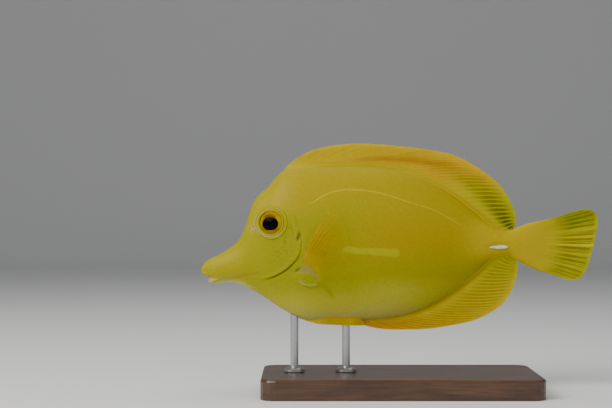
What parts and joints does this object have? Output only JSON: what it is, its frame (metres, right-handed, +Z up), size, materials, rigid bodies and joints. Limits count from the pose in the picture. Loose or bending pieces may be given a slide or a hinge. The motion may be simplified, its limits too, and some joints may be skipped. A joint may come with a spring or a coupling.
{
  "type": "yellow tang",
  "caption": "Life-size model of a yellow tang, a tall flat reef fish, on a plain display stand.",
  "frame": {"origin": "centre of the display base's underside, below the middle of the fish's length", "axes": "+X towards the tail, -X towards the snout, -Y out of the fish's left side, +Z up"},
  "size_m": [0.1591, 0.064, 0.0994],
  "materials": {
    "skin": "satin, wet-looking",
    "fin": "satin, translucent",
    "eye": "polished",
    "tail_spine": "satin",
    "stand_wood": "satin varnish",
    "stand_rod": "brushed"
  },
  "bodies": {
    "root": {"head": "skin", "torso": "skin", "tail_stalk": "skin", "dorsal_fin": "fin", "anal_fin": "fin", "caudal_fin": "fin", "pectoral_fin_left": "fin", "pectoral_fin_right": "fin", "pelvic_fin_left": "fin", "pelvic_fin_right": "fin", "eye_left": "eye", "eye_right": "eye", "tail_spine_left": "tail_spine", "tail_spine_right": "tail_spine", "stand_base": "stand_wood", "stand_rod_front": "stand_rod", "stand_rod_rear": "stand_rod"}
  },
  "joints": []
}
